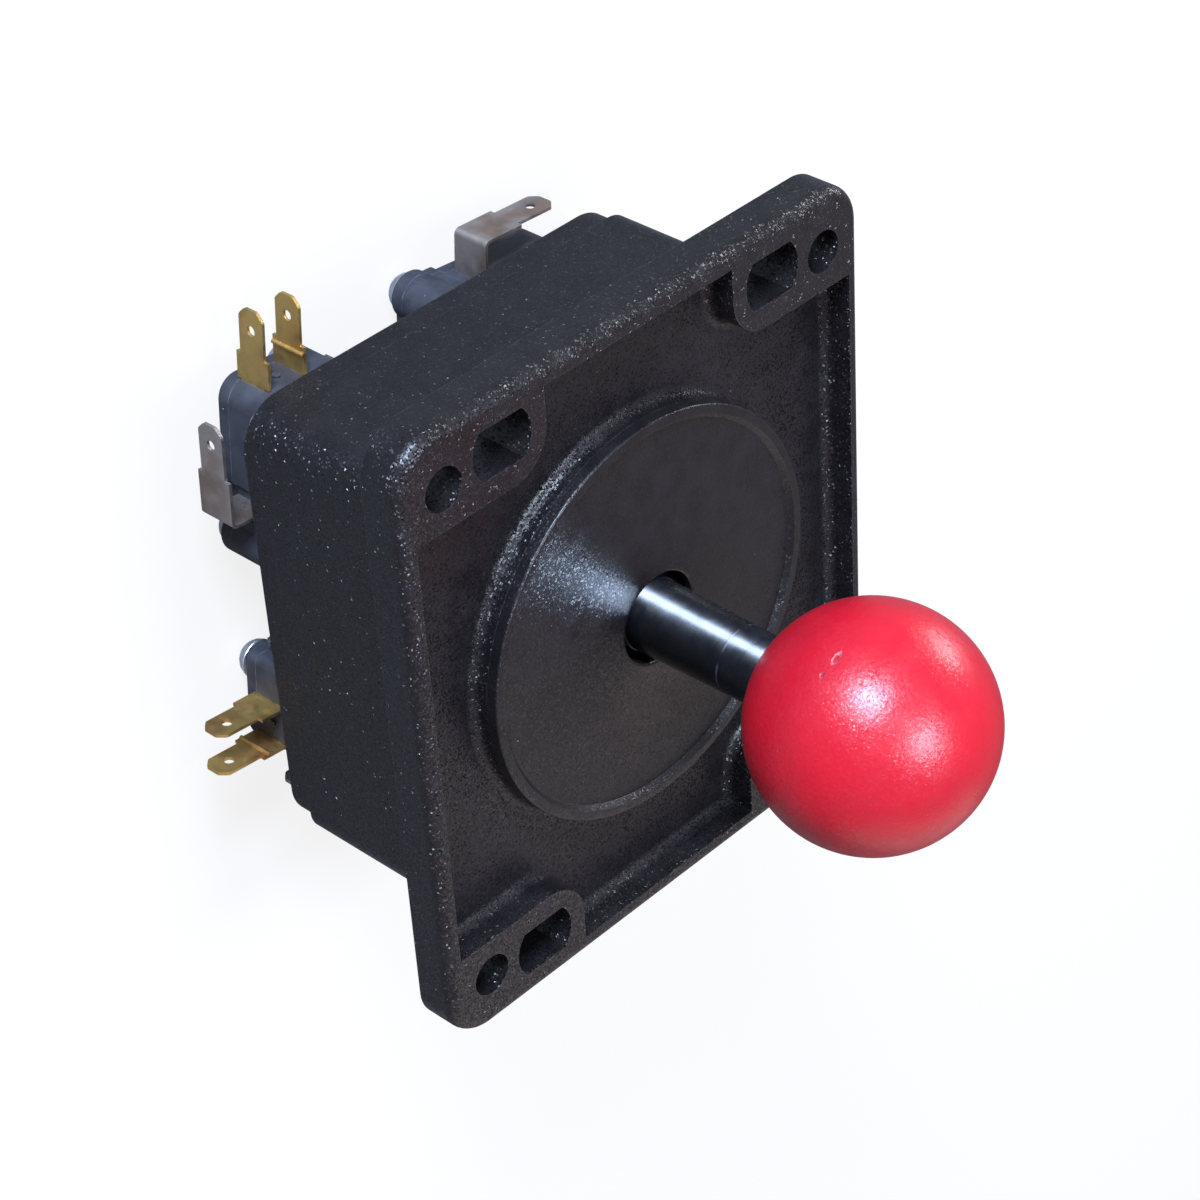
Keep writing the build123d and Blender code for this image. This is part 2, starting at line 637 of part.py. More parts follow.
def lever_underside():
    """Distance from the base to the lever's inner face over the plunger at rest."""
    toe = radians(SWITCH_TOE_DEG)
    arm = LEVER_PIN_U - PLUNGER_U
    return SWITCH_H + LEVER_PIN_RISE + arm * tan(toe) + (LEVER_OFFSET - LEVER_T / 2) / cos(toe)


def blade_height():
    """Height of the blade at rest, midway between the two fixed contacts."""
    open_face = OPEN_V + TERMINAL_T / 2 + CONTACT_H
    closed_face = CLOSED_V - TERMINAL_T / 2 - CONTACT_H
    return (open_face + closed_face) / 2


def moving_contact_height():
    """Thickness of the moving contact, which clears both fixed contacts by the travel."""
    open_face = OPEN_V + TERMINAL_T / 2 + CONTACT_H
    closed_face = CLOSED_V - TERMINAL_T / 2 - CONTACT_H
    return closed_face - open_face - 2 * (PLUNGER_TRAVEL + RUNNING_CLEARANCE)


def switch_plunger():
    """Plunger with a domed tip, a stop flange inside the case and a foot on the blade."""
    tip = lever_underside() - RUNNING_CLEARANCE
    flange_top = SWITCH_H - CASE_WALL - PLUNGER_TRAVEL - RUNNING_CLEARANCE
    foot = blade_height() + BLADE_T / 2 + FACE_GAP
    stem = plunger_axis(flange_top) * extrude(Circle(PLUNGER_R), tip - flange_top)
    stem &= plunger_axis(tip - PLUNGER_TIP_R) * Sphere(PLUNGER_TIP_R) + plunger_axis(
        flange_top
    ) * extrude(Circle(PLUNGER_R), tip - flange_top - PLUNGER_TIP_R)
    stem += plunger_axis(flange_top - PLUNGER_FLANGE_T) * extrude(Circle(PLUNGER_FLANGE_R), PLUNGER_FLANGE_T)
    return stem + plunger_axis(foot) * extrude(Circle(PLUNGER_FOOT_R), flange_top - foot)


def contact(v_position, height):
    """Contact rivet with its axis along v, centred on one height."""
    return Pos(CONTACT_U, -v_position, SWITCH_MID_Z) * Rot(90, 0, 0) * Cylinder(CONTACT_R, height)


def switch_blade():
    """Moving blade with a window and the double-sided moving contact."""
    start = COMMON_POST_U + TERMINAL_T / 2 + RUNNING_CLEARANCE
    end = CONTACT_U + CONTACT_R + 0.3
    middle = (start + end) / 2
    height = blade_height()
    strip = Pos(middle, -height, SWITCH_MID_Z) * Box(end - start, BLADE_T, BLADE_W)
    window_start = PLUNGER_U + PLUNGER_FOOT_R + 0.4
    window_end = CONTACT_U - CONTACT_R - 0.4
    window_u = (window_start + window_end) / 2
    strip -= Pos(window_u, -height, SWITCH_MID_Z) * Box(window_end - window_start, 1, BLADE_WINDOW)
    return strip + contact(height, moving_contact_height())


def switch_lever():
    """Spring-steel lever: a long strip with two ears on the stub pin."""
    start = LEVER_EAR_R
    length = LEVER_REACH + start
    strip = Pos(start - length / 2, -LEVER_OFFSET, 0) * Box(length, LEVER_T, LEVER_W)
    ear_outline = Circle(LEVER_EAR_R) + Pos(0, -LEVER_OFFSET / 2) * Rectangle(2 * LEVER_EAR_R, LEVER_OFFSET)
    ear_outline -= Circle(LEVER_PIN_R + RUNNING_CLEARANCE)
    outer = LEVER_W / 2
    for low in (-outer, outer - LEVER_EAR_T):
        strip += slab(ear_outline, low, low + LEVER_EAR_T)
    pin = Pos(LEVER_PIN_U, -SWITCH_H - LEVER_PIN_RISE, SWITCH_MID_Z)
    return pin * Rot(0, 0, SWITCH_TOE_DEG) * strip


def tab_sketch(shoulder_length, tab_length):
    """Push-on tab seen on its face: wide shoulder, narrow blade, rounded tip and hole."""
    total = shoulder_length + tab_length
    half = TAB_W / 2
    wide = SHOULDER_W / 2
    points = [
        (0, -wide),
        (shoulder_length, -wide),
        (shoulder_length, -half),
        (total - TAB_CHAMFER, -half),
        (total, -half + TAB_CHAMFER),
        (total, half - TAB_CHAMFER),
        (total - TAB_CHAMFER, half),
        (shoulder_length, half),
        (shoulder_length, wide),
        (0, wide),
    ]
    sketch = make_face(Polyline(points, close=True))
    tip = [v for v in sketch.vertices() if v.X > total - TAB_CHAMFER - 0.01]
    return fillet(tip, TAB_TIP_R) - Pos(total - TAB_HOLE_INSET, 0) * Circle(TAB_HOLE_R)


def tab(shoulder_length, tab_length):
    """Tab plate along X, with its thickness along Y and its width along Z."""
    flat = extrude(tab_sketch(shoulder_length, tab_length), TERMINAL_T / 2, both=True)
    return Rot(90, 0, 0) * flat


def end_terminal(v_position, contact_side):
    """Terminal at the switch's end: outer tab with a ridge, neck through the wall and fixed contact."""
    outer_u = SWITCH_L + FACE_GAP
    solid = Pos(outer_u, -v_position, SWITCH_MID_Z) * tab(SHOULDER_LENGTH, TAB_LENGTH)
    neck_length = outer_u - TERMINAL_INNER_U
    neck_u = TERMINAL_INNER_U + neck_length / 2
    solid += Pos(neck_u, -v_position, SWITCH_MID_Z) * Box(neck_length, TERMINAL_T, TAB_W)
    ridge_v = v_position + contact_side * TERMINAL_T / 2
    solid += Pos(SWITCH_L + RIDGE_OUT, -ridge_v, SWITCH_MID_Z) * Cylinder(RIDGE_R, SHOULDER_W)
    contact_v = v_position + contact_side * (TERMINAL_T / 2 + CONTACT_H / 2)
    return solid + contact(contact_v, CONTACT_H)


def open_terminal():
    """Normally open terminal with its contact facing the blade."""
    return end_terminal(OPEN_V, 1)


def closed_terminal():
    """Normally closed terminal with its contact facing the blade from the other side."""
    return end_terminal(CLOSED_V, -1)


def common_bend(low):
    """Leg and rounded bend of the common terminal, about the point where their centre lines meet."""
    half = TERMINAL_T / 2
    splay = radians(COMMON_SPLAY_DEG)
    corner_y = half * (1 - sin(splay)) / cos(splay)
    end = Vector(cos(splay), sin(splay)) * 2 * COMMON_BEND_R
    side = Vector(-sin(splay), cos(splay)) * half
    points = [(-half, low), (-half, corner_y), end + side, end - side, (half, -corner_y), (half, low)]
    sketch = make_face(Polyline(points, close=True))
    outer = [v for v in sketch.vertices() if v.X < 0 < v.Y]
    sketch = fillet(outer, COMMON_BEND_R)
    inner = [v for v in sketch.vertices() if abs(v.X - half) < 0.01 and abs(v.Y + corner_y) < 0.01]
    sketch = fillet(inner, COMMON_BEND_R - TERMINAL_T)
    return extrude(sketch, SHOULDER_W / 2, both=True)


def common_terminal():
    """Common terminal: an outer tab bent along the base and an inner post for the blade."""
    leg_low = FACE_GAP - BASE_NOTCH_D
    bend = Pos(COMMON_U, COMMON_DROP, SWITCH_MID_Z + COMMON_SIDE_SHIFT)
    outer_tab = tab(COMMON_SHOULDER_LENGTH - COMMON_BEND_R, COMMON_TAB_LENGTH)
    solid = bend * common_bend(leg_low - COMMON_DROP)
    solid += bend * Rot(0, 0, COMMON_SPLAY_DEG) * Pos(COMMON_BEND_R, 0) * outer_tab
    neck_length = COMMON_FLOOR_V + TERMINAL_T / 2 + leg_low
    solid += Pos(COMMON_U, leg_low - neck_length / 2, SWITCH_MID_Z) * Box(TERMINAL_T, neck_length, TAB_W)
    floor_length = COMMON_U - COMMON_POST_U + TERMINAL_T
    floor_u = (COMMON_U + COMMON_POST_U) / 2
    solid += Pos(floor_u, -COMMON_FLOOR_V, SWITCH_MID_Z) * Box(floor_length, TERMINAL_T, TAB_W)
    post_length = COMMON_POST_V - COMMON_FLOOR_V + TERMINAL_T / 2
    post_v = COMMON_POST_V - post_length / 2
    return solid + Pos(COMMON_POST_U, -post_v, SWITCH_MID_Z) * Box(TERMINAL_T, post_length, TAB_W)


def switch_parts():
    """Every piece of one switch in its own frame."""
    return {
        "case": switch_case(),
        "cover": switch_cover(),
        "plunger": switch_plunger(),
        "blade": switch_blade(),
        "lever": switch_lever(),
        "common_terminal": common_terminal(),
        "open_terminal": open_terminal(),
        "closed_terminal": closed_terminal(),
    }


def all_parts():
    """Every node of the joystick by name."""
    parts = {
        "housing": housing(),
        "dust_cover": dust_cover(),
        "rear_plate": rear_plate(),
        "plate_screws": plate_screws(),
        "pivot_ball": pivot_ball(),
        "pivot_liner": pivot_liner(),
        "shaft": shaft(),
        "shaft_sleeve": shaft_sleeve(),
        "ball_knob": ball_knob(),
        "spring_seat": spring_seat(),
        "centring_spring": centring_spring(),
        "actuator": actuator(),
        "actuator_washer": actuator_washer(),
        "actuator_clip": actuator_clip(),
        "switch_screws": switch_screws(),
    }
    pieces = switch_parts()
    for index, side in enumerate(SIDES):
        for name, solid in pieces.items():
            parts[f"{side}_switch_{name}"] = switch_place(index) * solid
    return parts


os.makedirs("parts", exist_ok=True)
for node, shape in all_parts().items():
    export_step(shape, f"parts/{node}.step")
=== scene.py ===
from math import cos, pi, radians, sin, sqrt

import bmesh
import bpy
from mathutils import Matrix, Vector


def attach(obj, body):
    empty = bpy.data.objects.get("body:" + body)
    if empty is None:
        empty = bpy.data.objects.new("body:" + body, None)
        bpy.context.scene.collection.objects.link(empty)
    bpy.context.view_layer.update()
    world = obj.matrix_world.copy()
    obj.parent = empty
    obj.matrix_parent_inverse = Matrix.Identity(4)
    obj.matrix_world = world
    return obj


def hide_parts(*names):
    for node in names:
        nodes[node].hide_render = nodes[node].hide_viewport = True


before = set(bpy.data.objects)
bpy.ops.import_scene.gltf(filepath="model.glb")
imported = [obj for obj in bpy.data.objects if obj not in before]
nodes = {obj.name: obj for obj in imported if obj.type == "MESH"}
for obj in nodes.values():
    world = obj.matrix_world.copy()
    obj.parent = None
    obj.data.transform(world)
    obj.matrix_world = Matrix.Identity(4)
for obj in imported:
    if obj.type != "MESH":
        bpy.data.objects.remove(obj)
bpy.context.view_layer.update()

MM = 0.001
SIDES = ("left", "top", "right", "bottom")

# Places taken from the model, in millimetres
SWITCH_CORNER = (-31.9, 5.1)
SWITCH_TOE_DEG = 5.5
SWITCH_SIZE = (27.8, 15.9)
HOLE_INSET = 2.8
SWITCH_REAR = -54.0
PLATE_REAR = -40.4
POST = (32.3, 32.0)
KNOB_HEIGHT = 39.0
KNOB_R = 17.5

# Bands of the finishes, in millimetres: the faint ring on the sleeve, and the heights of the
# rim and the bosses, whose grain glints more
SLEEVE_RING_Z = 15.8
SLEEVE_RING_HALF = 0.22
RIM_BAND = (-0.4, 0.3)

# Dust cover, in millimetres. The sweep runs from the hub to the foot of the lip; its steps
# crowd towards the hub, and its height falls by a power of the way that is left.
COVER_R = 31.5
COVER_T = 1.3
COVER_TOP_Z = -0.2
COVER_FACE_Z = -0.95
COVER_BASE_Z = -2.1
COVER_HUB_Z = 0.6
COVER_EDGE_R = 0.35
COVER_LIP_TOP = 1.5
COVER_LIP_FOOT = 2.2
HUB_HOLE_R = 6.95
HUB_EDGE_R = 0.4
SPIGOT_R = 28.3
SPIGOT_DEPTH = 1.2
EDGE_STEPS = 4
SWEEP_STEPS = 32
SWEEP_CROWDING = 1.3
SWEEP_POWER = 1.9
COVER_SIDES = 160
COVER_SHARP_DEG = 30

# Screws, in millimetres: head radius, head height and length under the head, then what every
# screw shares. The recess has a height, an arm's reach and half its width at mouth and foot.
SWITCH_SCREW = (3.1, 2.75, 16.3)
PLATE_SCREW = (2.7, 1.9, 17.2)
SCREW_SINK = 0.02
SCREW_SIDES = 48
SCREW_TURN = 1.1
SCREW_SHARP_DEG = 38
DOME_STEPS = 8
DOME_SHARE = 0.985
HEAD_SKIRT = 0.12
HEAD_CHAMFER = 0.05
HEAD_SEAT = 0.01
NECK_R = 1.3
THREAD_ROOT_R = 1.12
THREAD_CREST_R = 1.4
THREAD_START = 0.6
THREAD_HALF = 0.22
THREAD_PITCH = 0.62
THREAD_SPARE = 1.5
TIP_LENGTH = 0.8
TIP_SHOULDER_R = 0.9
TIP_R = 0.25
RECESS_DEPTH = 0.9
RECESS_MOUTH = (-0.4, 1.75, 0.42)
RECESS_FOOT = (0.55, 0.24)

# Stage, in metres but for FLOOR_Z, GLINT_PLACE and the camera's sensor and lens in millimetres
FLOOR_Z = -57.1
FLOOR_HALF = 4.0
FLOOR_TONE = 0.16
FLOOR_GLOW = 2.78
FLOOR_GLOW_SHARE = 0.3
FILL_COLOUR = (1.0, 0.90, 0.97, 1)
FILL_STRENGTH = 0.34
GLINT_PLACE = (-4.8, 5.4, 5.0)
GLINT_SPREAD_DEG = 110
CAMERA_SENSOR = 36.0
CAMERA_LENS = 101.1149
CAMERA_CLIP = 0.01
CAMERA_TURN = (0.874858, -0.276174, -0.369372, -0.148039)
CAMERA_PLACE = (-0.270319, 0.281436, 0.264135)

# Lamps: direction, distance and size in metres, watts, colour. GLINT_PLACE moves the last one.
LAMPS = {
    "ceiling_lamp": ((-0.35, 0.885, 0.307), 1.0, (0.32, 0.32), 29.5, (0.62, 0.76, 1.0)),
    "front_lamp": ((-0.02, 0.25, 0.97), 1.0, (0.34, 0.34), 12.5, (0.72, 0.82, 1.0)),
    "side_lamp": ((0.91, 0.34, 0.1), 1.0, (0.12, 0.4), 4.5, (0.95, 0.95, 1.0)),
    "low_lamp": ((0.1, -0.9, 0.3), 1.1, (1.4, 0.8), 2.2, (1.0, 0.86, 0.84)),
    "sleeve_lamp": ((-0.01, 0.865, -0.5), 1.0, (0.16, 0.6), 66.0, (0.58, 0.73, 1.0)),
    "cover_lamp": ((0.74, -0.67, 0.16), 1.0, (0.004, 0.007), 0.0006, (0.56, 0.72, 1.0)),
}

# Sockets of a Mix node that blends colours
MIX_FACTOR, MIX_FIRST, MIX_SECOND, MIX_RESULT = 0, 6, 7, 2


def new_group(name, inputs, outputs):
    """Empty shader node group with named float or vector sockets."""
    group = bpy.data.node_groups.new(name, "ShaderNodeTree")
    kinds = {"float": "NodeSocketFloat", "vector": "NodeSocketVector"}
    for label, kind, value in inputs:
        socket = group.interface.new_socket(label, in_out="INPUT", socket_type=kinds[kind])
        if value is not None:
            socket.default_value = value
    for label, kind in outputs:
        group.interface.new_socket(label, in_out="OUTPUT", socket_type=kinds[kind])
    return group, Graph(group)


class Graph:
    """Short way to add and join nodes in one tree."""

    def __init__(self, tree):
        self.tree = tree
        self.inputs = tree.nodes.new("NodeGroupInput")
        self.outputs = tree.nodes.new("NodeGroupOutput")

    def add(self, kind, **settings):
        node = self.tree.nodes.new(kind)
        for name, value in settings.items():
            setattr(node, name, value)
        return node

    def join(self, source, target):
        self.tree.links.new(source, target)

    def put(self, socket, value):
        if isinstance(value, bpy.types.NodeSocket):
            self.tree.links.new(value, socket)
        else:
            socket.default_value = value

    def maths(self, operation, first, second=0.0, clamp=False):
        node = self.add("ShaderNodeMath", operation=operation, use_clamp=clamp)
        self.put(node.inputs[0], first)
        self.put(node.inputs[1], second)
        return node.outputs[0]

    def times(self, first, second):
        return self.maths("MULTIPLY", first, second)

    def marks(self, first, first_share, second, second_share):
        """Two masks, each at its share, added up to 1 at most."""
        first, second = self.times(first, first_share), self.times(second, second_share)
        return self.maths("ADD", first, second, clamp=True)

    def vector_maths(self, operation, first, second):
        node = self.add("ShaderNodeVectorMath", operation=operation)
        self.put(node.inputs[0], first)
        self.put(node.inputs["Scale" if operation == "SCALE" else 1], second)
        return node

    def parts(self, vector):
        """The X, Y and Z of a vector."""
        node = self.add("ShaderNodeSeparateXYZ")
        self.join(vector, node.inputs[0])
        return node.outputs

    def noise(self, vector, scale, detail=2.0, roughness=0.5):
        node = self.add("ShaderNodeTexNoise")
        self.put(node.inputs["Vector"], vector)
        self.put(node.inputs["Scale"], scale)
        node.inputs["Detail"].default_value = detail
        node.inputs["Roughness"].default_value = roughness
        return node.outputs["Fac"]

    def cells(self, vector, scale):
        node = self.add("ShaderNodeTexVoronoi", feature="F1")
        self.put(node.inputs["Vector"], vector)
        self.put(node.inputs["Scale"], scale)
        return node

    def spread(self, value, low, high, to_low=0.0, to_high=1.0):
        node = self.add("ShaderNodeMapRange", clamp=True)
        self.put(node.inputs["Value"], value)
        node.inputs["From Min"].default_value = low
        node.inputs["From Max"].default_value = high
        node.inputs["To Min"].default_value = to_low
        node.inputs["To Max"].default_value = to_high
        return node.outputs["Result"]

    def blend(self, factor, first, second):
        node = self.add("ShaderNodeMix", data_type="RGBA")
        self.put(node.inputs[MIX_FACTOR], factor)
        self.put(node.inputs[MIX_FIRST], first)
        self.put(node.inputs[MIX_SECOND], second)
        return node.outputs[MIX_RESULT]

    def stretch(self, vector, scale):
        node = self.add("ShaderNodeMapping")
        self.put(node.inputs["Vector"], vector)
        node.inputs["Scale"].default_value = scale
        return node.outputs["Vector"]

    def bump(self, height, distance, normal=None):
        node = self.add("ShaderNodeBump")
        node.inputs["Distance"].default_value = distance
        node.inputs["Strength"].default_value = 1.0
        self.put(node.inputs["Height"], height)
        if normal is not None:
            self.put(node.inputs["Normal"], normal)
        return node.outputs["Normal"]

    def place(self):
        return self.add("ShaderNodeTexCoord").outputs["Object"]


def make_grain_group():
    """Spark-eroded grain: pits over soft waves, and small facets that turn the normal at random."""
    group, g = new_group(
        "Moulded grain",
        [
            ("Place", "vector", None),
            ("Grain Scale", "float", 3600.0),
            ("Wave Scale", "float", 260.0),
            ("Steepness", "float", 1.0),
        ],
        [("Height", "float"), ("Patches", "float"), ("Facets", "vector")],
    )
    given, result = g.inputs.outputs, g.outputs.inputs
    fine = g.noise(given["Place"], given["Grain Scale"], 3.0, 0.65)
    cell = g.cells(given["Place"], given["Grain Scale"])
    waves = g.noise(given["Place"], given["Wave Scale"], 3.0)
    mixed = g.maths("ADD", g.times(fine, 0.6), g.times(cell.outputs["Distance"], 0.4))
    chance = g.add("ShaderNodeTexWhiteNoise", noise_dimensions="3D")
    g.join(cell.outputs["Position"], chance.inputs["Vector"])
    steep = g.times(g.maths("POWER", chance.outputs["Value"], 1.5), given["Steepness"])
    centred = g.vector_maths("SUBTRACT", chance.outputs["Color"], (0.5, 0.5, 0.5))
    tilt = g.vector_maths("SCALE", centred.outputs[0], steep)
    g.join(g.maths("ADD", mixed, g.times(waves, 0.8)), result["Height"])
    g.join(g.spread(waves, 0.35, 0.65), result["Patches"])
    g.join(tilt.outputs[0], result["Facets"])
    return group


def make_facet_group():
    """Turns a normal by the grain's facets."""
    group, g = new_group(
        "Faceted normal",
        [("Facets", "vector", None), ("Skin", "vector", None)],
        [("Normal", "vector")],
    )
    given = g.inputs.outputs
    turned = g.vector_maths("ADD", given["Skin"], given["Facets"])
    unit = g.add("ShaderNodeVectorMath", operation="NORMALIZE")
    g.join(turned.outputs[0], unit.inputs[0])
    g.join(unit.outputs[0], g.outputs.inputs["Normal"])
    return group


def make_dust_group():
    """Sparse dust specks."""
    group, g = new_group(
        "Dust specks",
        [
            ("Place", "vector", None),
            ("Speck Scale", "float", 330.0),
            ("Speck Size", "float", 0.055),
        ],
        [("Mask", "float")],
    )
    given = g.inputs.outputs
    shift = g.add("ShaderNodeTexNoise")
    g.join(given["Place"], shift.inputs["Vector"])
    shift.inputs["Scale"].default_value = 900.0
    scaled = g.vector_maths("SCALE", shift.outputs["Color"], 0.0006)
    wobble = g.vector_maths("ADD", given["Place"], scaled.outputs[0])
    cell = g.cells(wobble.outputs[0], given["Speck Scale"])
    near = g.maths("LESS_THAN", cell.outputs["Distance"], given["Speck Size"])
    chance = g.add("ShaderNodeSeparateColor")
    g.join(cell.outputs["Color"], chance.inputs[0])
    chosen = g.maths("GREATER_THAN", chance.outputs[0], 0.72)
    strength = g.spread(chance.outputs[1], 0.0, 1.0, 0.35, 1.0)
    g.join(g.times(g.times(near, chosen), strength), g.outputs.inputs["Mask"])
    return group


def make_edge_group():
    """Edge mask, for rubbed wear and, on the moulded blacks, a painted edge highlight: where the
    rounded-over normal leaves the flat one, broken up by noise.
    """
    group, g = new_group(
        "Edge mask",
        [("Place", "vector", None), ("Width", "float", 0.00025), ("Break Up", "float", 700.0)],
        [("Mask", "float")],
    )
    given = g.inputs.outputs
    bevel = g.add("ShaderNodeBevel", samples=6)
    g.join(given["Width"], bevel.inputs["Radius"])
    flat = g.add("ShaderNodeNewGeometry")
    dot = g.vector_maths("DOT_PRODUCT", bevel.outputs["Normal"], flat.outputs["Normal"])
    turned = g.spread(g.maths("SUBTRACT", 1.0, dot.outputs["Value"]), 0.02, 0.18)
    broken = g.spread(g.noise(given["Place"], given["Break Up"], 4.0), 0.38, 0.62)
    g.join(g.times(turned, broken), g.outputs.inputs["Mask"])
    return group


def make_scratch_group():
    """Fine straight scratches in several directions, thinned out by patches."""
    group, g = new_group(
        "Hairline scratches",
        [("Place", "vector", None), ("Scratch Scale", "float", 60.0)],
        [("Mask", "float")],
    )
    given = g.inputs.outputs
    thin = 28.0
    runs = (
        (0.4, (1.0, thin, thin)),
        (1.3, (thin, 1.0, thin)),
        (2.2, (thin, thin, 1.0)),
    )
    total = None
    for turn, along in runs:
        spin = g.add("ShaderNodeMapping")
        g.join(given["Place"], spin.inputs["Vector"])
        spin.inputs["Rotation"].default_value = (turn, turn * 0.7, turn * 1.3)
        lines = g.noise(g.stretch(spin.outputs["Vector"], along), given["Scratch Scale"], 1.0)
        line = g.spread(g.maths("ABSOLUTE", g.maths("SUBTRACT", lines, 0.5)), 0.0, 0.006, 1.0, 0.0)
        total = line if total is None else g.maths("MAXIMUM", total, line)
    patch = g.spread(g.noise(given["Place"], 90.0, 1.0), 0.58, 0.7)
    g.join(g.times(total, patch), g.outputs.inputs["Mask"])
    return group


def make_metal_group():
    """Rolled or ground metal: fine streaks along one direction, soft stains and small pits."""
    group, g = new_group(
        "Metal surface",
        [
            ("Place", "vector", None),
            ("Streak Stretch", "vector", (40.0, 400.0, 40.0)),
            ("Stain Scale", "float", 420.0),
        ],
        [("Streaks", "float"), ("Stains", "float"), ("Pits", "float")],
    )
    given, result = g.inputs.outputs, g.outputs.inputs
    scaled = g.vector_maths("MULTIPLY", given["Place"], given["Streak Stretch"])
    streaks = g.noise(scaled.outputs[0], 30.0, 4.0, 0.7)
    stains = g.spread(g.noise(given["Place"], given["Stain Scale"], 4.0, 0.6), 0.4, 0.68)
    pits = g.spread(g.cells(given["Place"], 2600.0).outputs["Distance"], 0.0, 0.35, 1.0, 0.0)
    g.join(streaks, result["Streaks"])
    g.join(stains, result["Stains"])
    g.join(pits, result["Pits"])
    return group


GRAIN = make_grain_group()
FACETS = make_facet_group()
DUST = make_dust_group()
EDGES = make_edge_group()
SCRATCHES = make_scratch_group()
METAL = make_metal_group()


class Finish(Graph):
    """One material with its Principled shader, and the shared groups placed in it."""

    def __init__(self, name, **shader):
        self.material = bpy.data.materials.new(name)
        self.material.use_nodes = True
        self.tree = self.material.node_tree
        self.shader = self.tree.nodes["Principled BSDF"]
        for socket, value in shader.items():
            self.shader.inputs[socket.replace("_", " ")].default_value = value

    def group(self, tree, place, **values):
        node = self.add("ShaderNodeGroup", node_tree=tree)
        self.put(node.inputs["Place"], place)
        for socket, value in values.items():
            node.inputs[socket.replace("_", " ")].default_value = value
        return node.outputs

    def feed(self, socket, value):
        self.put(self.shader.inputs[socket], value)

    def facet(self, facets, skin):
        """Feeds the skin's normal through the grain's facets."""
        turned = self.add("ShaderNodeGroup", node_tree=FACETS)
        self.join(facets, turned.inputs["Facets"])
        self.join(skin, turned.inputs["Skin"])
        self.feed("Normal", turned.outputs["Normal"])


def moulded_black(name, base, sheen, grain_scale, grain_depth, steepness=1.0, rim_steepness=0.0):
    """Black moulded plastic with grain, bright grain facets, dust, and lighter edges: rubbed wear
    plus a painted edge highlight.
    """
    f = Finish(name, IOR=1.46)
    place = f.place()
    height = f.parts(place)[2]
    above = f.maths("GREATER_THAN", height, RIM_BAND[0] * MM)
    below = f.maths("LESS_THAN", height, RIM_BAND[1] * MM)
    grain = f.group(GRAIN, place, Grain_Scale=grain_scale)
    raised = f.times(f.times(above, below), rim_steepness)
    f.put(grain["Height"].node.inputs["Steepness"], f.maths("ADD", raised, steepness))
    dust = f.group(DUST, place, Speck_Scale=260.0, Speck_Size=0.035)["Mask"]
    edges = f.group(EDGES, place)["Mask"]
    scratches = f.group(SCRATCHES, place)["Mask"]
    tinted = f.blend(grain["Patches"], (*base, 1), (*[c * 1.35 for c in base], 1))
    # Lighter edges: partly rubbed wear, partly a painted highlight where edges catch the light
    edge_lightened = f.blend(f.marks(edges, 0.35, scratches, 0.15), tinted, (0.10, 0.10, 0.11, 1))
    f.feed("Base Color", f.blend(dust, edge_lightened, (0.16, 0.16, 0.17, 1)))
    rough = f.spread(grain["Patches"], 0.0, 1.0, sheen - 0.04, sheen + 0.05)
    f.feed("Roughness", f.maths("ADD", rough, f.times(dust, 0.4), clamp=True))
    f.facet(grain["Facets"], f.bump(grain["Height"], grain_depth))
    return f.material


def knob_red():
    """Red moulded ball: waxy, with an orange-peel skin, dust, scratches and two nicks."""
    f = Finish("knob_red", IOR=1.5, Subsurface_Weight=0.06, Subsurface_Scale=0.002)
    f.shader.inputs["Subsurface Radius"].default_value = (1.0, 0.25, 0.2)
    place = f.place()
    scratches = f.group(SCRATCHES, place, Scratch_Scale=48.0)["Mask"]
    dust = f.group(DUST, place, Speck_Scale=260.0, Speck_Size=0.03)["Mask"]
    grain = f.group(GRAIN, place, Grain_Scale=5000.0, Steepness=0.27)
    peel = f.noise(place, 1500.0, 3.0, 0.55)
    swell = f.noise(place, 130.0, 2.0)
    dent = None
    for middle, turn, size in NICKS:
        spot = f.add("ShaderNodeMapping", vector_type="TEXTURE")
        f.join(place, spot.inputs["Vector"])
        spot.inputs["Location"].default_value = middle
        spot.inputs["Rotation"].default_value = (0.0, 0.0, turn)
        spot.inputs["Scale"].default_value = size
        far = f.add("ShaderNodeVectorMath", operation="LENGTH")
        f.join(spot.outputs["Vector"], far.inputs[0])
        ragged = f.maths("ADD", far.outputs["Value"], f.times(f.noise(place, 1500.0, 3.0), 0.9))
        one = f.spread(ragged, 1.0, 1.6, 1.0, 0.0)
        dent = one if dent is None else f.maths("MAXIMUM", dent, one)
    lip = f.times(dent, f.maths("SUBTRACT", 1.0, dent))
    tone = f.blend(f.spread(swell, 0.35, 0.65), (0.42, 0.004, 0.014, 1), (0.38, 0.005, 0.016, 1))
    scuffed = f.blend(f.times(scratches, 0.3), tone, (0.62, 0.06, 0.08, 1))
    nicked = f.blend(f.maths("MULTIPLY", lip, 1.6, clamp=True), scuffed, (0.75, 0.24, 0.28, 1))
    f.feed("Base Color", f.blend(f.times(dust, 0.4), nicked, (0.5, 0.2, 0.2, 1)))
    rough = f.spread(f.noise(place, 420.0, 3.0), 0.35, 0.7, 0.31, 0.41)
    f.feed("Roughness", f.maths("ADD", rough, f.times(dent, 0.1)))
    height = f.maths("ADD", f.times(peel, 0.55), f.times(swell, 0.6))
    skin = f.bump(f.maths("SUBTRACT", 1.0, dent), 0.0003, normal=f.bump(height, 0.00009))
    f.facet(grain["Facets"], skin)
    return f.material


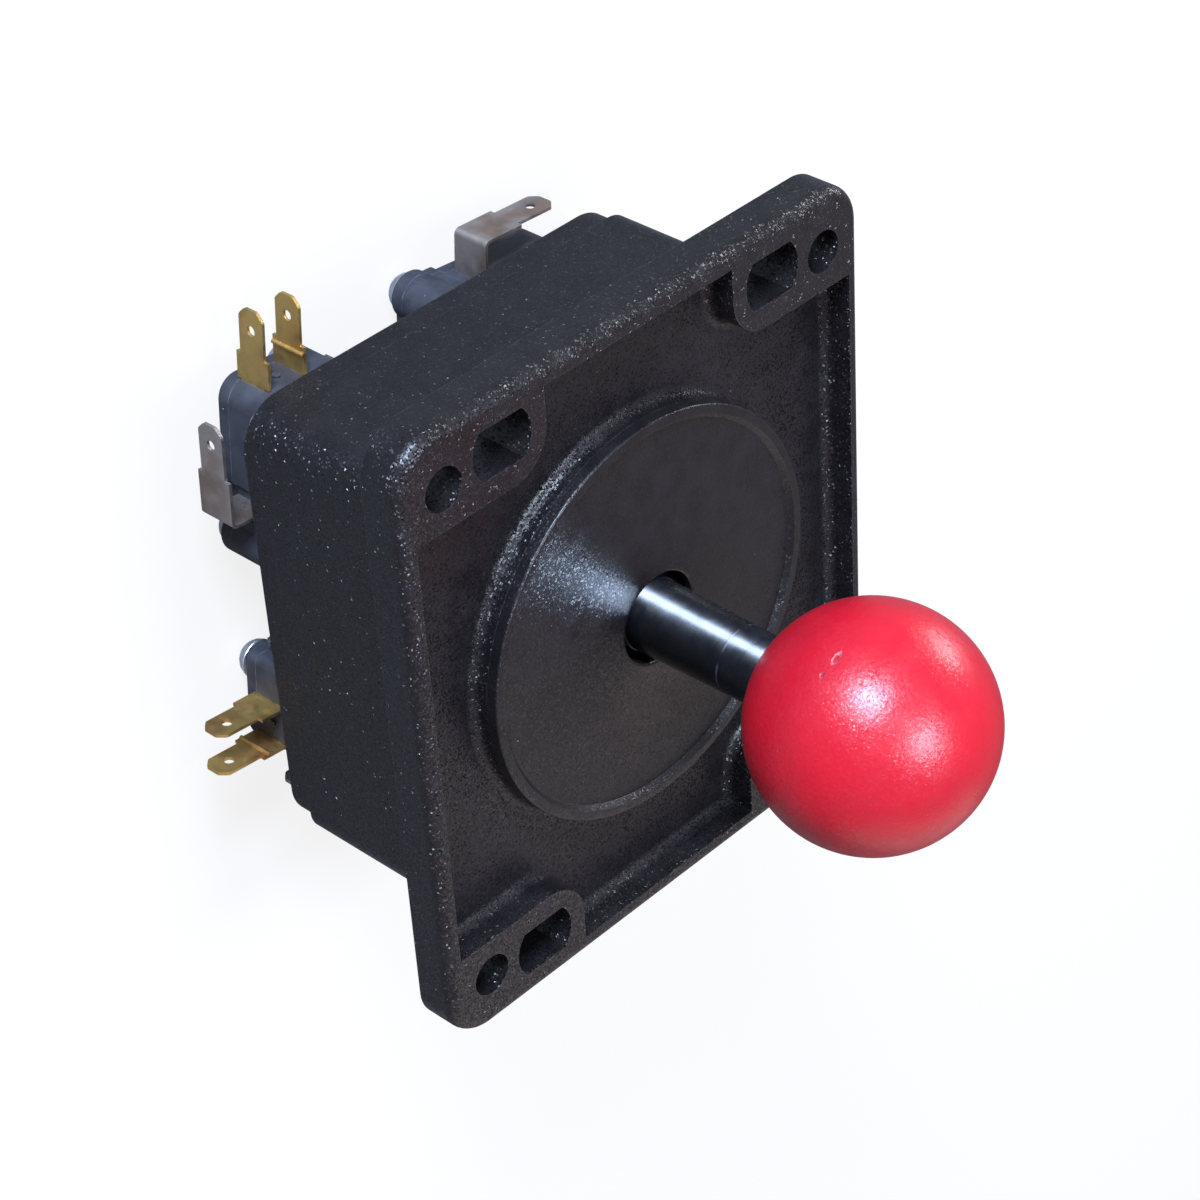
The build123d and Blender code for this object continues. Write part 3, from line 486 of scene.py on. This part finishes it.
def sleeve_black():
    """Polished black sleeve with one faint ring and fine scuffs round it."""
    f = Finish("sleeve_black", IOR=1.5)
    place = f.place()
    from_ring = f.maths("ABSOLUTE", f.maths("SUBTRACT", f.parts(place)[2], SLEEVE_RING_Z * MM))
    line = f.spread(from_ring, 0.0, SLEEVE_RING_HALF * MM, 1.0, 0.0)
    ring = f.times(line, f.spread(f.noise(place, 260.0, 2.0), 0.45, 0.6))
    turning = f.noise(f.stretch(place, (60.0, 60.0, 5200.0)), 1.0, 3.0)
    scratches = f.group(SCRATCHES, place, Scratch_Scale=80.0)["Mask"]
    dust = f.group(DUST, place, Speck_Scale=420.0, Speck_Size=0.05)["Mask"]
    marks = f.marks(scratches, 0.4, ring, 0.4)
    tone = f.blend(marks, (0.0015, 0.0015, 0.002, 1), (0.05, 0.05, 0.06, 1))
    f.feed("Base Color", f.blend(dust, tone, (0.3, 0.3, 0.32, 1)))
    rough = f.spread(f.noise(place, 500.0, 3.0), 0.3, 0.7, 0.24, 0.31)
    f.feed("Roughness", f.maths("ADD", rough, f.times(marks, 0.2)))
    height = f.maths("ADD", f.times(turning, 0.15), f.times(ring, -0.3))
    f.feed("Normal", f.bump(height, 0.00009))
    return f.material


def metal(name, light, dark, rough, stretch, stain=0.5, stain_scale=420.0, tint=None):
    """Bare or plated metal with streaks along one direction, stains and small pits."""
    f = Finish(name, Metallic=1.0)
    place = f.place()
    surface = f.group(METAL, place, Streak_Stretch=stretch, Stain_Scale=stain_scale)
    edges = f.group(EDGES, place, Width=0.00012)["Mask"]
    scratches = f.group(SCRATCHES, place, Scratch_Scale=110.0)["Mask"]
    streaks = f.spread(surface["Streaks"], 0.3, 0.7)
    tone = f.blend(streaks, (*light, 1), (*[c * 0.88 for c in light], 1))
    stained = f.blend(f.times(surface["Stains"], stain), tone, (*dark, 1))
    if tint is not None:
        tarnish = f.spread(f.noise(place, 150.0, 2.0), 0.48, 0.62, 0.0, 0.7)
        stained = f.blend(tarnish, stained, (*tint, 1))
    bright = (*[min(1.0, c * 1.25) for c in light], 1)
    f.feed("Base Color", f.blend(f.marks(edges, 0.5, scratches, 0.3), stained, bright))
    spread = f.spread(surface["Streaks"], 0.3, 0.7, rough - 0.06, rough + 0.06)
    f.feed("Roughness", f.maths("ADD", spread, f.times(surface["Stains"], 0.14), clamp=True))
    height = f.maths("SUBTRACT", surface["Streaks"], f.times(surface["Pits"], 0.25))
    f.feed("Normal", f.bump(height, 0.000012))
    return f.material


def acetal(name, base, gloss):
    """Natural acetal: slightly translucent, with faint tool marks and grease smears."""
    f = Finish(name, IOR=1.48, Subsurface_Weight=0.1, Subsurface_Scale=0.001)
    place = f.place()
    grain = f.group(GRAIN, place, Grain_Scale=2400.0, Wave_Scale=300.0)
    scratches = f.group(SCRATCHES, place)["Mask"]
    smear = f.spread(f.noise(place, 160.0, 3.0), 0.5, 0.7)
    tone = f.blend(f.times(smear, 0.3), (*base, 1), (*[c * 0.62 for c in base], 1))
    scored = (*[c * 0.5 for c in base], 1)
    f.feed("Base Color", f.blend(f.times(scratches, 0.3), tone, scored))
    f.feed("Roughness", f.spread(smear, 0.0, 1.0, gloss + 0.1, gloss))
    f.feed("Normal", f.bump(grain["Height"], 0.000012))
    return f.material


def switch_grey():
    """Dark blue-grey matt moulding of the switch cases, dusty and scuffed on its edges."""
    f = Finish("switch_grey", IOR=1.5)
    place = f.place()
    grain = f.group(GRAIN, place, Grain_Scale=4200.0, Wave_Scale=380.0)
    dust = f.group(DUST, place, Speck_Scale=520.0, Speck_Size=0.06)["Mask"]
    edges = f.group(EDGES, place, Width=0.0002)["Mask"]
    scratches = f.group(SCRATCHES, place, Scratch_Scale=90.0)["Mask"]
    tone = f.blend(grain["Patches"], (0.026, 0.027, 0.036, 1), (0.038, 0.040, 0.050, 1))
    edge_lightened = f.blend(f.marks(edges, 0.6, scratches, 0.3), tone, (0.2, 0.21, 0.24, 1))
    f.feed("Base Color", f.blend(dust, edge_lightened, (0.4, 0.4, 0.4, 1)))
    f.feed("Roughness", f.spread(grain["Patches"], 0.0, 1.0, 0.5, 0.62))
    f.feed("Normal", f.bump(grain["Height"], 0.000014))
    return f.material


def paint(node, material):
    """Gives one node its finish."""
    mesh = nodes[node].data
    mesh.materials.clear()
    mesh.materials.append(material)


def on_knob(direction):
    """Point on the knob's skin in a direction from its middle."""
    return Vector((0, 0, KNOB_HEIGHT * MM)) + Vector(direction).normalized() * KNOB_R * MM


# Nicks on the knob: middle, turn about Z and half sizes along X, Y and Z in metres
NICKS = (
    (on_knob((-0.42, 0.907, 0.01)), 0.42, (0.0011, 0.0005, 0.0005)),
    (on_knob((-0.561, 0.827, -0.01)), 0.6, (0.0004, 0.00025, 0.0003)),
)

# Moulded blacks, a row per node: look, tone, sheen, grain scale and depth, steepness of the facets
BLACKS = {
    "housing": ("housing_black", (0.005, 0.004, 0.005), 0.36, 4200.0, 0.00001, 1.3, 1.4),
    "dust_cover": ("cover_black", (0.004, 0.0032, 0.004), 0.38, 4400.0, 0.000004, 0.5),
    "rear_plate": ("plate_black", (0.005, 0.004, 0.005), 0.38, 4200.0, 0.00001, 1.2),
    "spring_seat": ("seat_black", (0.02, 0.02, 0.022), 0.45, 3000.0, 0.00002, 0.3),
}

# Metals on one node, a row each: look, light and dark tone, roughness, streaks, stain
METALS = {
    "shaft": (
        "ground_steel", (0.62, 0.62, 0.64), (0.36, 0.34, 0.33), 0.26, (20.0, 20.0, 700.0), 0.3,
    ),
    "pivot_ball": (
        "ball_steel", (0.10, 0.10, 0.11), (0.05, 0.04, 0.035), 0.3, (30.0, 30.0, 500.0), 0.4,
    ),
    "centring_spring": (
        "spring_wire", (0.5, 0.5, 0.52), (0.26, 0.24, 0.23), 0.3, (300.0, 300.0, 60.0), 0.45,
    ),
    "actuator_washer": (
        "washer_steel", (0.62, 0.62, 0.63), (0.38, 0.36, 0.34), 0.3, (300.0, 40.0, 40.0), 0.4,
    ),
    "actuator_clip": (
        "clip_steel", (0.2, 0.2, 0.21), (0.1, 0.09, 0.085), 0.35, (300.0, 40.0, 40.0), 0.4,
    ),
}

# Metals on every switch, a row each: as above, then stain scale and tarnish
SWITCH_METALS = {
    "lever": (
        "lever_strip", (0.66, 0.66, 0.67), (0.42, 0.4, 0.38), 0.25, (600.0, 600.0, 30.0), 0.3,
    ),
    "blade": (
        "blade_copper", (0.80, 0.50, 0.33), (0.42, 0.24, 0.15), 0.25, (600.0, 600.0, 30.0), 0.3,
    ),
    "brass": (
        "tab_brass", (1.0, 0.70, 0.25), (0.62, 0.36, 0.10), 0.38, (60.0, 60.0, 700.0), 0.45,
        520.0, (0.62, 0.33, 0.14),
    ),
    "tin": (
        "tab_tin", (0.62, 0.56, 0.53), (0.36, 0.28, 0.23), 0.44, (60.0, 60.0, 600.0), 0.6,
        480.0, (0.34, 0.23, 0.16),
    ),
}


def paint_nodes():
    """Finishes of every node. Gives back the dust cover's, for the shape that replaces it."""
    blacks = {node: moulded_black(*row) for node, row in BLACKS.items()}
    for node, black in blacks.items():
        paint(node, black)
    paint("ball_knob", knob_red())
    paint("shaft_sleeve", sleeve_black())
    for node, row in METALS.items():
        paint(node, metal(*row))
    paint("pivot_liner", acetal("liner_acetal", (0.02, 0.02, 0.022), 0.35))
    paint("actuator", acetal("actuator_acetal", (0.78, 0.77, 0.71), 0.32))
    looks = {part: metal(*row) for part, row in SWITCH_METALS.items()}
    looks["plunger"] = acetal("plunger_acetal", (0.62, 0.56, 0.45), 0.34)
    looks["case"] = looks["cover"] = switch_grey()
    looks["open_terminal"] = looks["closed_terminal"] = looks.pop("brass")
    looks["common_terminal"] = looks.pop("tin")
    for side in SIDES:
        for part, look in looks.items():
            paint(f"{side}_switch_{part}", look)
    return blacks["dust_cover"]


def turned_mesh(name, profile, sides, loop=False):
    """Mesh spun about Z from (radius, height) points in millimetres; a loop joins last to first."""
    mesh = bmesh.new()
    rings = []
    for radius, height in profile:
        if radius == 0:
            rings.append([mesh.verts.new((0, 0, height * MM))])
            continue
        ring = []
        for side in range(sides):
            angle = 2 * pi * side / sides
            x, y = radius * MM * cos(angle), radius * MM * sin(angle)
            ring.append(mesh.verts.new((x, y, height * MM)))
        rings.append(ring)
    if loop:
        rings.append(rings[0])
    for low, high in zip(rings, rings[1:]):
        for side in range(sides):
            after = (side + 1) % sides
            if len(low) == 1:
                mesh.faces.new((low[0], high[after], high[side]))
            elif len(high) == 1:
                mesh.faces.new((low[side], low[after], high[0]))
            else:
                mesh.faces.new((low[side], low[after], high[after], high[side]))
    bmesh.ops.recalc_face_normals(mesh, faces=mesh.faces)
    return finish_mesh(name, mesh)


def finish_mesh(name, mesh):
    """Object from a bmesh, shaded smooth."""
    data = bpy.data.meshes.new(name)
    mesh.to_mesh(data)
    mesh.free()
    for face in data.polygons:
        face.use_smooth = True
    piece = bpy.data.objects.new(name, data)
    bpy.context.scene.collection.objects.link(piece)
    return piece


def screw_profile(head_r, head_h, length):
    """Domed head, plain neck and rolled thread of a screw that points up from its head."""
    dome_r = (head_r**2 + head_h**2) / (2 * head_h)
    points = [(0, -head_h)]
    for step in range(1, DOME_STEPS + 1):
        radius = head_r * DOME_SHARE * step / DOME_STEPS
        points.append((radius, dome_r - head_h - sqrt(dome_r**2 - radius**2)))
    points += [(head_r, -HEAD_SKIRT), (head_r - HEAD_CHAMFER, -HEAD_SEAT), (NECK_R, -HEAD_SEAT)]
    height = THREAD_START
    while height < length - THREAD_SPARE:
        points += [
            (THREAD_ROOT_R, height),
            (THREAD_CREST_R, height + THREAD_HALF),
            (THREAD_ROOT_R, height + 2 * THREAD_HALF),
        ]
        height += THREAD_PITCH
    return points + [(TIP_SHOULDER_R, length - TIP_LENGTH), (TIP_R, length), (0, length)]


def cross_cutter():
    """Tapered cross that cuts the driver recess."""
    mesh = bmesh.new()
    for turn in (0, pi / 2):
        for part in (-1, 1):
            verts = []
            for height, reach, half in (RECESS_MOUTH, (RECESS_DEPTH, *RECESS_FOOT)):
                for along, across in ((0.0, -half), (reach, -half), (reach, half), (0.0, half)):
                    x, y = part * along, part * across
                    turned = (x * cos(turn) - y * sin(turn), x * sin(turn) + y * cos(turn))
                    verts.append(mesh.verts.new((turned[0] * MM, turned[1] * MM, height * MM)))
            low, high = verts[:4], verts[4:]
            mesh.faces.new(low[::-1])
            mesh.faces.new(high)
            for i in range(4):
                mesh.faces.new((low[i], low[(i + 1) % 4], high[(i + 1) % 4], high[i]))
    bmesh.ops.recalc_face_normals(mesh, faces=mesh.faces)
    return finish_mesh("cross_cutter", mesh)


def cut(piece, cutter):
    """Cuts one mesh out of another and keeps the result."""
    modifier = piece.modifiers.new("cut", "BOOLEAN")
    modifier.object = cutter
    modifier.operation = "DIFFERENCE"
    modifier.solver = "EXACT"
    modifier.use_self = True
    graph = bpy.context.evaluated_depsgraph_get()
    shape = bpy.data.meshes.new_from_object(piece.evaluated_get(graph))
    piece.modifiers.clear()
    piece.data = shape


def switch_point(index, u, v):
    """Row position of a point given along and across one switch."""
    toe = radians(SWITCH_TOE_DEG)
    x = SWITCH_CORNER[0] + u * sin(toe) + v * cos(toe)
    y = SWITCH_CORNER[1] + u * cos(toe) - v * sin(toe)
    for _ in range(index):
        x, y = y, -x
    return x, y


def screw_group(name, places, height, screw_size, material):
    """Copies of one screw, each turned a little differently, as one piece."""
    head_r, head_h, length = screw_size
    screw = turned_mesh(name + "_blank", screw_profile(head_r, head_h, length), SCREW_SIDES)
    cutter = cross_cutter()
    cutter.location.z = -head_h * MM
    bpy.context.view_layer.update()
    cut(screw, cutter)
    joined = bmesh.new()
    for number, (x, y) in enumerate(places):
        copy = screw.data.copy()
        turn = Matrix.Rotation(number * SCREW_TURN, 4, "Z")
        copy.transform(Matrix.Translation((x * MM, y * MM, height * MM)) @ turn)
        joined.from_mesh(copy)
        bpy.data.meshes.remove(copy)
    piece = finish_mesh(name, joined)
    piece.data.materials.append(material)
    edges = piece.modifiers.new("sharp", "EDGE_SPLIT")
    edges.split_angle = radians(SCREW_SHARP_DEG)
    for extra in (screw, cutter):
        bpy.data.objects.remove(extra)
    return piece


def detailed_screws():
    """Cross-recess screws in place of the plain ones."""
    zinc = metal(
        "screw_zinc", (0.93, 0.95, 1.0), (0.7, 0.68, 0.67), 0.42, (200.0, 200.0, 200.0), 0.25, 700.0
    )
    places = []
    for index in range(4):
        places.append(switch_point(index, HOLE_INSET, HOLE_INSET))
        places.append(switch_point(index, SWITCH_SIZE[0] - HOLE_INSET, SWITCH_SIZE[1] - HOLE_INSET))
    rear = SWITCH_REAR - SCREW_SINK
    switch = screw_group("switch_cross_screws", places, rear, SWITCH_SCREW, zinc)
    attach(switch, "housing")
    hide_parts("switch_screws")
    corners = [(sx * POST[0], sy * POST[1]) for sx in (-1, 1) for sy in (-1, 1)]
    rear = PLATE_REAR - SCREW_SINK
    plate = screw_group("plate_cross_screws", corners, rear, PLATE_SCREW, zinc)
    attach(plate, "housing")
    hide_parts("plate_screws")


def detailed_cover(material):
    """Dust cover whose face sweeps up to the hub in a hollow curve in place of the straight one."""
    profile = [(HUB_HOLE_R, COVER_HUB_Z - COVER_T), (HUB_HOLE_R, COVER_HUB_Z - HUB_EDGE_R)]
    for step in range(1, EDGE_STEPS + 1):
        turn = pi / 2 * step / EDGE_STEPS
        radius = HUB_HOLE_R + HUB_EDGE_R * (1 - cos(turn))
        profile.append((radius, COVER_HUB_Z - HUB_EDGE_R * (1 - sin(turn))))
    inner, outer = HUB_HOLE_R + HUB_EDGE_R, COVER_R - COVER_LIP_FOOT
    rise = COVER_HUB_Z - COVER_FACE_Z
    for step in range(1, SWEEP_STEPS + 1):
        share = (step / SWEEP_STEPS) ** SWEEP_CROWDING
        height = COVER_FACE_Z + rise * (1 - share) ** SWEEP_POWER
        profile.append((inner + (outer - inner) * share, height))
    profile.append((COVER_R - COVER_LIP_TOP, COVER_TOP_Z))
    for step in range(EDGE_STEPS + 1):
        turn = pi / 2 * step / EDGE_STEPS
        radius = COVER_R - COVER_EDGE_R * (1 - sin(turn))
        profile.append((radius, COVER_TOP_Z - COVER_EDGE_R * (1 - cos(turn))))
    foot = COVER_BASE_Z - SPIGOT_DEPTH
    profile += [(COVER_R, COVER_BASE_Z), (SPIGOT_R, COVER_BASE_Z), (SPIGOT_R, foot)]
    profile += [(SPIGOT_R - COVER_T, foot), (SPIGOT_R - COVER_T, COVER_FACE_Z - COVER_T)]
    cover = turned_mesh("swept_dust_cover", profile, COVER_SIDES, loop=True)
    cover.data.materials.append(material)
    edges = cover.modifiers.new("sharp", "EDGE_SPLIT")
    edges.split_angle = radians(COVER_SHARP_DEG)
    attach(cover, "housing")
    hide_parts("dust_cover")
    return cover


def seen_by_camera(tree):
    """1 for rays that come from the camera, also through something clear, and 0 for the rest."""
    rays = tree.nodes.new("ShaderNodeLightPath")
    seen = tree.nodes.new("ShaderNodeMath")
    seen.operation = "MAXIMUM"
    tree.links.new(rays.outputs["Is Camera Ray"], seen.inputs[0])
    tree.links.new(rays.outputs["Is Transmission Ray"], seen.inputs[1])
    return seen.outputs[0]


def pale_floor():
    """Plain pale floor under the lowest screws, white to the camera but for its soft shadow."""
    mesh = bmesh.new()
    bmesh.ops.create_grid(mesh, x_segments=1, y_segments=1, size=FLOOR_HALF)
    floor = finish_mesh("floor", mesh)
    floor.location.z = FLOOR_Z * MM
    material = bpy.data.materials.new("floor_pale")
    material.use_nodes = True
    tree = material.node_tree
    tree.nodes.clear()
    out = tree.nodes.new("ShaderNodeOutputMaterial")
    matt = tree.nodes.new("ShaderNodeBsdfDiffuse")
    matt.inputs["Color"].default_value = (FLOOR_TONE, FLOOR_TONE, FLOOR_TONE, 1)
    glow = tree.nodes.new("ShaderNodeEmission")
    glow.inputs["Strength"].default_value = FLOOR_GLOW
    share = tree.nodes.new("ShaderNodeMath")
    share.operation = "MULTIPLY"
    tree.links.new(seen_by_camera(tree), share.inputs[0])
    share.inputs[1].default_value = FLOOR_GLOW_SHARE
    mix = tree.nodes.new("ShaderNodeMixShader")
    tree.links.new(share.outputs[0], mix.inputs[0])
    tree.links.new(matt.outputs[0], mix.inputs[1])
    tree.links.new(glow.outputs[0], mix.inputs[2])
    tree.links.new(mix.outputs[0], out.inputs["Surface"])
    floor.data.materials.append(material)


def studio_world():
    """White to the camera, and a soft fill for everything else."""
    world = bpy.data.worlds.new("studio")
    bpy.context.scene.world = world
    world.use_nodes = True
    tree = world.node_tree
    back = tree.nodes["Background"]
    back.inputs["Color"].default_value = FILL_COLOUR
    back.inputs["Strength"].default_value = FILL_STRENGTH
    white = tree.nodes.new("ShaderNodeBackground")
    white.inputs["Color"].default_value = (1, 1, 1, 1)
    mix = tree.nodes.new("ShaderNodeMixShader")
    tree.links.new(seen_by_camera(tree), mix.inputs[0])
    tree.links.new(back.outputs[0], mix.inputs[1])
    tree.links.new(white.outputs[0], mix.inputs[2])
    tree.links.new(mix.outputs[0], tree.nodes["World Output"].inputs["Surface"])


def lamp(name):
    """Soft lamp of the table, aimed at the middle of the object."""
    direction, distance, size, watts, colour = LAMPS[name]
    light = bpy.data.lights.new(name, "AREA")
    light.shape = "RECTANGLE"
    light.size, light.size_y = size
    light.energy = watts
    light.color = colour
    piece = bpy.data.objects.new(name, light)
    bpy.context.scene.collection.objects.link(piece)
    aim = Vector(direction).normalized()
    piece.location = aim * distance
    piece.rotation_euler = aim.to_track_quat("Z", "Y").to_euler()
    return piece


def keep_to(piece, target):
    """Lets a lamp light and be shaded by one piece only."""
    alone = bpy.data.collections.new(piece.name + "_piece")
    alone.objects.link(target)
    piece.light_linking.receiver_collection = alone
    piece.light_linking.blocker_collection = alone


def studio_lamps(cover):
    """Long ceiling light in two parts, a side window, a warm low fill, and two glints."""
    for name in ("ceiling_lamp", "front_lamp", "side_lamp", "low_lamp"):
        lamp(name)
    keep_to(lamp("sleeve_lamp"), nodes["shaft_sleeve"])
    glint = lamp("cover_lamp")
    glint.location = Vector(GLINT_PLACE) * MM
    glint.data.spread = radians(GLINT_SPREAD_DEG)
    glint.visible_camera = False
    keep_to(glint, cover)


def photo_camera():
    """Camera at the photograph's place, turn and lens."""
    data = bpy.data.cameras.new("photo_camera")
    data.sensor_width = CAMERA_SENSOR
    data.lens = CAMERA_LENS
    data.clip_start = CAMERA_CLIP
    camera = bpy.data.objects.new("photo_camera", data)
    camera.rotation_mode = "QUATERNION"
    camera.rotation_quaternion = CAMERA_TURN
    camera.location = CAMERA_PLACE
    bpy.context.scene.collection.objects.link(camera)
    bpy.context.scene.camera = camera


cover_black = paint_nodes()
swept_cover = detailed_cover(cover_black)
detailed_screws()
pale_floor()
studio_world()
studio_lamps(swept_cover)
photo_camera()
bpy.context.scene.view_settings.view_transform = "Standard"
